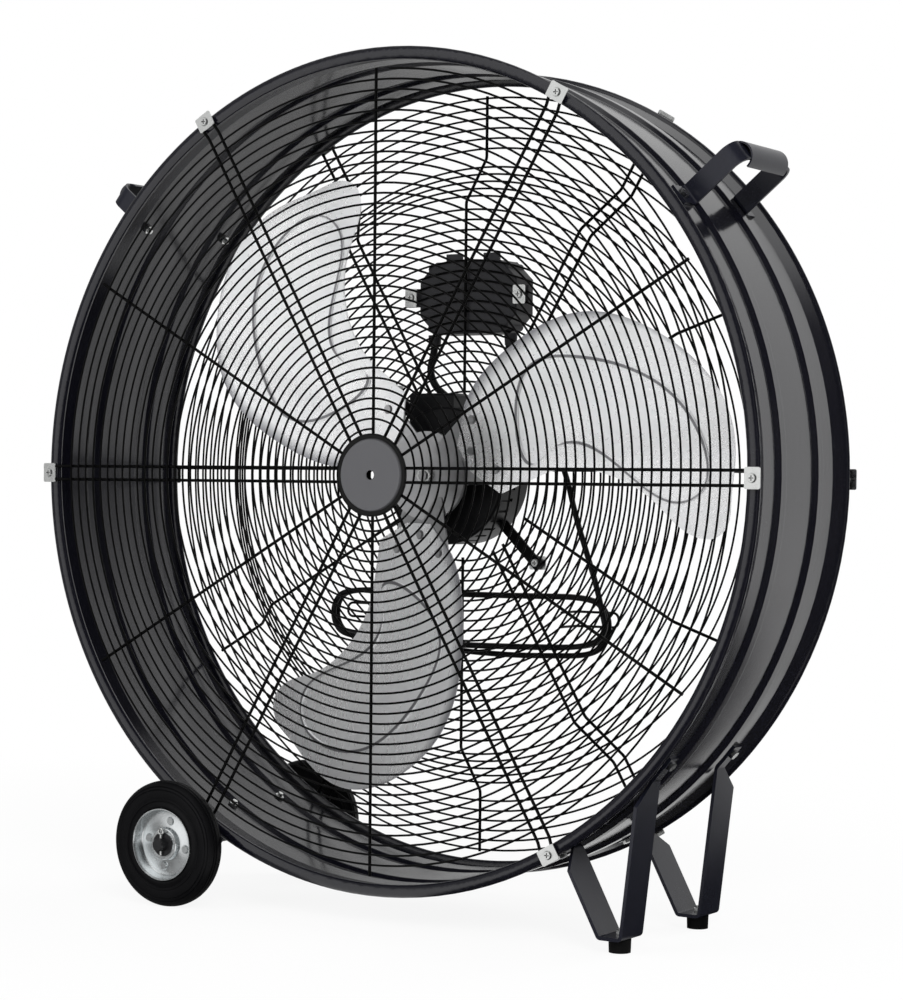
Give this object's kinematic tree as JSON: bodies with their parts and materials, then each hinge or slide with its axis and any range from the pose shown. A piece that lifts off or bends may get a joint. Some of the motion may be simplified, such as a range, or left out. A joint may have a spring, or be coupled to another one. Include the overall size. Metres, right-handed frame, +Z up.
{
  "type": "drum fan",
  "caption": "Portable round drum fan: bladed rotor and motor inside a steel drum with wire guards, two transport wheels, V-shaped feet, carrying handles and a speed switch.",
  "frame": {"origin": "on the floor, below the middle of the drum", "axes": "+X to the right seen from the front, +Y from the front guard to the rear guard along the fan's axis, +Z up"},
  "size_m": [0.968, 0.3284, 0.994],
  "materials": {
    "drum_paint": "gloss black powder coat",
    "guard_paint": "gloss black paint on wire",
    "disc_paint": "satin grey-black",
    "zinc": "bright zinc plate",
    "steel": "machined steel",
    "blade_metal": "satin rolled sheet",
    "motor_paint": "semi-gloss black",
    "core_steel": "stacked laminations",
    "winding": "varnished copper wire",
    "black_plastic": "moulded, fine texture",
    "knob_plastic": "moulded",
    "cord_rubber": "smooth sheath",
    "tie_fabric": "woven hook-and-loop strap",
    "leg_paint": "satin blue-black paint",
    "pad_rubber": "moulded rubber",
    "tyre_rubber": "solid rubber",
    "wheel_zinc": "bright zinc plate",
    "bush_plastic": "natural nylon",
    "axle_black": "black oxide",
    "can_metal": "drawn can"
  },
  "bodies": {
    "root": {"drum_shell": "drum_paint", "front_guard_rings": "guard_paint", "front_guard_spokes": "guard_paint", "front_guard_disc": "disc_paint", "front_guard_backplate": "guard_paint", "rear_guard_rings": "guard_paint", "rear_guard_spokes": "guard_paint", "guard_clips": "zinc", "clip_screws": "zinc", "motor_front_bell": "motor_paint", "motor_housing": "motor_paint", "motor_rear_bell": "motor_paint", "motor_bearings": "steel", "stator_core": "core_steel", "stator_windings": "winding", "motor_mount": "guard_paint", "motor_bolts": "zinc", "switch_box_body": "black_plastic", "switch_box_cover": "black_plastic", "cover_screws": "zinc", "rotary_switch": "black_plastic", "run_capacitor": "can_metal", "wire_clamps": "zinc", "wire_clamp_screws": "zinc", "terminal_box": "motor_paint", "motor_cable": "cord_rubber", "cable_glands": "black_plastic", "power_cord": "cord_rubber", "cord_hank": "cord_rubber", "power_plug": "black_plastic", "hank_tie": "tie_fabric", "cord_hooks": "guard_paint", "handle_right": "leg_paint", "handle_left": "leg_paint", "foot_bracket_front": "leg_paint", "foot_bracket_rear": "leg_paint", "foot_pads": "pad_rubber", "pad_screws": "zinc", "axle": "axle_black", "axle_washers": "axle_black", "cotter_pins": "zinc", "axle_brackets": "leg_paint", "body_bolts": "zinc", "body_nuts": "zinc"},
    "fan": {"motor_shaft": "steel", "rotor_core": "core_steel", "fan_hub": "steel", "hub_nut": "zinc", "blade_lower": "blade_metal", "blade_upper_right": "blade_metal", "blade_upper_left": "blade_metal", "blade_rivets": "steel"},
    "front_wheel": {"front_tyre": "tyre_rubber", "front_wheel_rim": "wheel_zinc", "front_wheel_bush": "bush_plastic"},
    "rear_wheel": {"rear_tyre": "tyre_rubber", "rear_wheel_rim": "wheel_zinc", "rear_wheel_bush": "bush_plastic"},
    "knob": {"speed_knob": "knob_plastic", "switch_spindle": "steel"}
  },
  "joints": [
    {"name": "fan_spin", "type": "hinge", "parent": "root", "child": "fan", "pos_m": [0, 0, 0.514], "axis": [0, 1, 0], "continuous": true},
    {"name": "front_wheel_spin", "type": "hinge", "parent": "root", "child": "front_wheel", "pos_m": [-0.272, -0.143, 0.075], "axis": [0, 1, 0], "continuous": true},
    {"name": "rear_wheel_spin", "type": "hinge", "parent": "root", "child": "rear_wheel", "pos_m": [-0.272, 0.143, 0.075], "axis": [0, 1, 0], "continuous": true},
    {"name": "speed_knob_turn", "type": "hinge", "parent": "root", "child": "knob", "pos_m": [-0.008, 0.12, 0.727], "axis": [0, 1, 0], "range_deg": [0, 120]}
  ]
}
